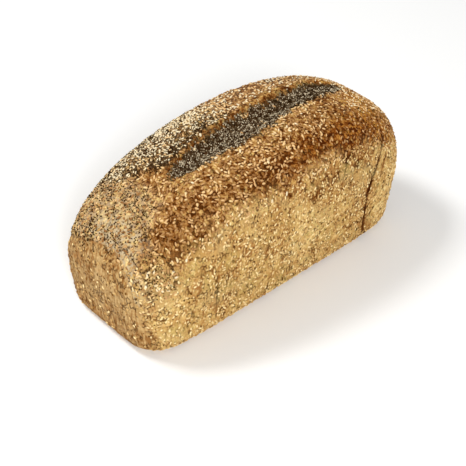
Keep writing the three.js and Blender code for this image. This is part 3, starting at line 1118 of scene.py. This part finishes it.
# sesame: flat drops, loose on the crown and pressed into the tin sides
sesame = {
    "length": 0.0032,
    "width": 0.0018,
    "height": 0.001,
    "sidesRound": 5,
    "bands": 4,
    "pointed": 0.32,
    "blunt": 0.12,
    "pressedPointed": 0.35,
    "sizeSpread": 0.16,
    "rightShrink": 0.16,
    "cutClear": 0.0008,
    "cornerLoose": 0.5,
    "brightTone": 0.84,
    "brightSpread": 0.08,
    "plainTone": 0.38,
    "plainSpread": 0.2,
    "palestTone": 0.92,
    # the right end's paler seeds are painted light
    "paler": {"leftHalf": 0.09, "mix": 0.34, "farMix": 0.35, "dome": -0.04, "farTop": 0.26, "belt": -0.26,
              "warm": -0.16, "rightEnd": 0.26, "corner": 0.06},
    "randomSeed": 41,
    "kinds": {
        "sesame_crown": {
            "loose": True,
            "perArea": 0.27,
            "thinned": {"band": 0.99, "lip": 0.96, "dome": 0.45, "bare": 0.9},
            "changed": (
                {"belt": -0.45, "warm": -0.3, "rightEnd": 0.6},
                {"farMix": 1.7, "mix": -0.45, "dense": -0.45},
            ),
            "clumps": {"clump": 0.6, "mixCluster": -1.4},
            "clumpLimits": (0.15, 2),
            "gap": 0.0019,
            "raised": 0.00025,
            "lean": 0.25,
            "upright": 0,
            "brightShare": 0.4,
            "stops": (
                (0.0, (140, 93, 44)),
                (0.35, (178, 131, 78)),
                (0.65, (212, 168, 112)),
                (0.85, (233, 193, 134)),
                (0.95, (239, 207, 152)),
                (1.0, (243, 226, 188)),
            ),
        },
        "sesame_sides": {
            "loose": False,
            "perArea": 0.21,
            "thinned": {"under": 1, "endFace": 0.92, "dome": 0.3},
            "changed": (),
            "clumps": {"clump": 0.7},
            "clumpLimits": (0.2, 2),
            "gap": 0.0016,
            "raised": 0.00015,
            "lean": 0.16,
            "upright": 0.8,
            "brightShare": 0.1,
            "stops": ((0.0, (178, 134, 71)), (0.45, (210, 171, 106)), (0.9, (250, 225, 166))),
        },
    },
    "look": {
        "roughness": 0.55,
        "specular": 0.2,
        "mottleSize": 0.0016,
        "mottle": 0.3,
        "bump": {"size": 0.0006, "strength": 0.2, "distance": 0.0002},
    },
}


def looseTemplate():
    bm = bmesh.new()
    bmesh.ops.create_uvsphere(bm, u_segments=sesame["sidesRound"], v_segments=sesame["bands"], radius=0.5)
    for vert in bm.verts:  # the pole axis becomes the length, one end blunt and one pointed
        x, y, z = vert.co
        narrow = 1 - sesame["pointed"] * (z + 0.5) ** 2 + sesame["blunt"] * (0.5 - z)
        vert.co = (z, x * narrow, y * narrow)
    return templateOf(bm)


def pressedTemplate():  # a plainer drop for the seeds that lie deep in the sides
    bm = bmesh.new()
    bmesh.ops.create_icosphere(bm, subdivisions=1, radius=0.5)
    for vert in bm.verts:
        narrow = 1 - sesame["pressedPointed"] * (vert.co.x + 0.5) ** 2
        vert.co.y *= narrow
        vert.co.z *= narrow
    return templateOf(bm)


def makeSesameMaterial(name, stops):
    look = sesame["look"]
    material, tree, shader = newMaterial(name, look)
    place = objectPlace(tree)
    mottle = minus(tree, grain(tree, place, look["mottleSize"], detail=2), 0.5)
    shade = plus(tree, fieldOf(tree, "tone"), times(tree, mottle, look["mottle"]))
    tree.links.new(rampColour(tree, shade, stops), shader.inputs["Base Color"])
    addBump(tree, shader, grain(tree, place, look["bump"]["size"], detail=2), look["bump"])
    return material


def sesameShare(kind):  # how much of the full covering each place has
    onTop = skinZones["top"] * (1 - skinZones["endFace"])
    loose = np.maximum(onTop, sesame["cornerLoose"] * skinZones["corner"])
    share = loose if kind["loose"] else 1 - loose
    for name, amount in kind["thinned"].items():
        share = share * (1 - amount * skinZones[name])
    for amounts in kind["changed"]:
        share = share * (1 + weighed(skinZones, amounts))
    return share * clumped(kind)


def makeSesame(rng):
    size = np.array([sesame["length"], sesame["width"], sesame["height"]])
    shrink = sesame["rightShrink"] * skinZones["rightHalf"] * skinZones["top"]
    paler = weighed(skinZones, sesame["paler"])
    for name, kind in sesame["kinds"].items():
        perArea = sesameShare(kind) * kind["perArea"]
        points, chosen, facing = scatter(rng, perArea, kind["gap"], sesame["cutClear"])
        sizes = size * (1 + rng.normal(0, sesame["sizeSpread"], (len(points), 3)))
        sizes = sizes * (1 - shrink[chosen])[:, None]
        places = points + facing * kind["raised"]
        bright = rng.random(len(points)) < kind["brightShare"]
        middle = np.where(bright, sesame["brightTone"], sesame["plainTone"])
        spreads = np.where(bright, sesame["brightSpread"], sesame["plainSpread"])
        tones = np.clip(middle + rng.normal(0, 1, len(points)) * spreads, 0, sesame["palestTone"])
        tones = np.clip(tones + paler[chosen], 0, 1)
        material = makeSesameMaterial(name, kind["stops"])
        template = looseTemplate() if kind["loose"] else pressedTemplate()
        turns = lieOn(rng, facing, kind["lean"], kind["upright"])
        joinSeeds(name, template, turns, sizes, places, tones, material)


# poppy: small dark grains, packed in the split, thinner on the left end, and some of them pale: partly flour,
# partly painted highlights on the seeds
poppy = {
    "size": 0.00108,
    "shape": (1.1, 0.95, 0.9),
    "sizeSpread": 0.14,
    "perArea": {"band": 1.5, "mix": 0.2, "dense": 1.6, "dome": 0.03, "crease": 0.8, "pepper": 0.15,
                "corner": 0.2, "top": 0.004},
    "clumps": {"clump": 0.6},
    "strewnClumps": {"cluster": 1.4, "speckle": 1.8},
    "clumpLimits": (0.05, 4),
    "gap": 0.00092,
    "cutClear": 0.0004,
    "raised": 0.0004,
    "lean": 0.4,
    "mixAsBand": 0.3,
    # the pale grains are partly flour and partly painted highlights on the seeds
    "paleShare": 0.16,
    "paleTone": 0.9,
    "darkTone": 0.08,
    "bandTone": 0.52,
    "rightDarker": 0.16,
    "toneDrift": {"height": 1.3, "size": 0.0024, "noise": 71},
    "toneSpread": 0.13,
    "bandSpread": 0.5,
    "randomSeed": 42,
    "look": {
        "roughness": 0.8,
        "specular": 0,
        "stops": (
            (0.0, (40, 22, 4)),
            (0.18, (60, 39, 15)),
            (0.36, (82, 65, 43)),
            (0.6, (120, 102, 77)),
            (0.85, (166, 148, 120)),
            (1.0, (206, 190, 160)),
        ),
        "bump": {"size": 0.0003, "strength": 0.3, "distance": 0.0001},
    },
}


def makePoppyMaterial():
    look = poppy["look"]
    material, tree, shader = newMaterial("poppySeed", look)
    tree.links.new(rampColour(tree, fieldOf(tree, "tone"), look["stops"]), shader.inputs["Base Color"])
    addBump(tree, shader, grain(tree, objectPlace(tree), look["bump"]["size"], detail=1), look["bump"])
    return material


def makePoppy(rng):
    strewn = weighed(skinZones, poppy["strewnClumps"]) * (1 - skinZones["band"])
    perArea = weighed(skinZones, poppy["perArea"]) * clumped(poppy, strewn)
    bm = bmesh.new()
    bmesh.ops.create_icosphere(bm, subdivisions=1, radius=0.5)
    bmesh.ops.scale(bm, vec=poppy["shape"], verts=bm.verts[:])
    points, chosen, facing = scatter(rng, perArea, poppy["gap"], poppy["cutClear"])
    sizes = poppy["size"] * (1 + rng.normal(0, poppy["sizeSpread"], (len(points), 3)))
    places = points + facing * poppy["raised"]
    inBand = np.maximum(skinZones["band"], poppy["mixAsBand"] * skinZones["mix"])[chosen]
    # pale grains: partly flour, partly painted highlights
    pale = rng.random(len(points)) < poppy["paleShare"] * inBand
    bandTone = poppy["bandTone"] - poppy["rightDarker"] * skinZones["rightHalf"][chosen]
    bandTone = bandTone + unevenness(points, poppy["toneDrift"])
    stray = rng.normal(0, poppy["toneSpread"], len(points)) * (1 + poppy["bandSpread"] * inBand)
    tones = np.where(pale, poppy["paleTone"], poppy["darkTone"] + inBand * bandTone) + stray
    tones = np.clip(tones, 0, 1)
    turns = lieOn(rng, facing, poppy["lean"])
    joinSeeds("poppy", templateOf(bm), turns, sizes, places, tones, makePoppyMaterial())


# bran: flat dark flakes and specks baked into the crust
bran = {
    "length": 0.0023,
    "width": 0.0011,
    "height": 0.0006,
    "sidesRound": 5,
    "topShare": 0.6,
    "sizeSpread": 0.4,
    "sizeLimits": (0.5, 2),
    "growth": 0.8,
    "pressedGrowth": 0.4,
    "shapeSpread": 0.15,
    "perArea": {"pressed": 0.01, "endFace": 0.02, "top": 0.008, "dome": 0.045, "pepper": 0.055,
                "corner": 0.04},
    "clumps": {"clump": 0.6, "cluster": 1.4},
    "clumpLimits": (0.1, 3),
    "gap": 0.0013,
    "cutClear": 0.0004,
    "sunk": 0.0003,
    "lean": 0.05,
    "upright": 2,
    "tone": 0.12,
    "endTone": 0.3,
    "toneSpread": 0.2,
    "randomSeed": 43,
    "look": {
        "roughness": 0.85,
        "specular": 0.03,
        "stops": ((0.0, (70, 42, 12)), (0.6, (116, 76, 30)), (1.0, (150, 104, 50))),
        "mottleSize": 0.0008,
        "mottle": 0.3,
    },
}


def makeBranMaterial():
    look = bran["look"]
    material, tree, shader = newMaterial("branFlake", look)
    mottle = times(tree, grain(tree, objectPlace(tree), look["mottleSize"], detail=2), look["mottle"])
    colour = rampColour(tree, plus(tree, fieldOf(tree, "tone"), mottle), look["stops"])
    tree.links.new(colour, shader.inputs["Base Color"])
    return material


def makeBran(rng):
    perArea = weighed(skinZones, bran["perArea"]) * (1 - skinZones["under"]) * clumped(bran)
    bm = bmesh.new()
    bmesh.ops.create_circle(bm, cap_ends=True, radius=0.5, segments=bran["sidesRound"])
    made = bmesh.ops.extrude_face_region(bm, geom=bm.faces[:])["geom"]
    top = [g for g in made if isinstance(g, bmesh.types.BMVert)]
    bmesh.ops.translate(bm, verts=top, vec=(0, 0, 1))
    bmesh.ops.scale(bm, vec=(bran["topShare"], bran["topShare"], 1), verts=top)
    points, chosen, facing = scatter(rng, perArea, bran["gap"], bran["cutClear"])
    size = np.array([bran["length"], bran["width"], bran["height"]])
    grown = np.clip(np.exp(rng.normal(0, bran["sizeSpread"], (len(points), 1))), *bran["sizeLimits"])
    grown = grown * (bran["growth"] + bran["pressedGrowth"] * skinZones["pressed"][chosen][:, None])
    sizes = size * np.where([True, True, False], grown, 1)  # longer and wider, but no thicker
    sizes = sizes * (1 + rng.normal(0, bran["shapeSpread"], (len(points), 3)))
    places = points - facing * bran["sunk"]
    tones = bran["tone"] + bran["endTone"] * skinZones["endFace"][chosen]
    tones = np.clip(tones + rng.normal(0, bran["toneSpread"], len(points)), 0, 1)
    turns = lieOn(rng, facing, bran["lean"], bran["upright"])
    joinSeeds("bran", templateOf(bm), turns, sizes, places, tones, makeBranMaterial(), smooth=False)


makeSesame(np.random.default_rng(sesame["randomSeed"]))
makePoppy(np.random.default_rng(poppy["randomSeed"]))
makeBran(np.random.default_rng(bran["randomSeed"]))


# plain pale floor
floor = {"reach": 3.0, "tint": (0.95, 0.95, 0.94), "roughness": 0.9, "specular": 0.1}


def makeFloor():
    bm = bmesh.new()
    bmesh.ops.create_grid(bm, x_segments=1, y_segments=1, size=floor["reach"])
    mesh = bpy.data.meshes.new("paleFloor")
    bm.to_mesh(mesh)
    bm.free()
    material, tree, shader = newMaterial("paleFloor", floor)
    shader.inputs["Base Color"].default_value = (*floor["tint"], 1)
    mesh.materials.append(material)
    piece = bpy.data.objects.new("paleFloor", mesh)
    scene.collection.objects.link(piece)


makeFloor()
print("floor made")
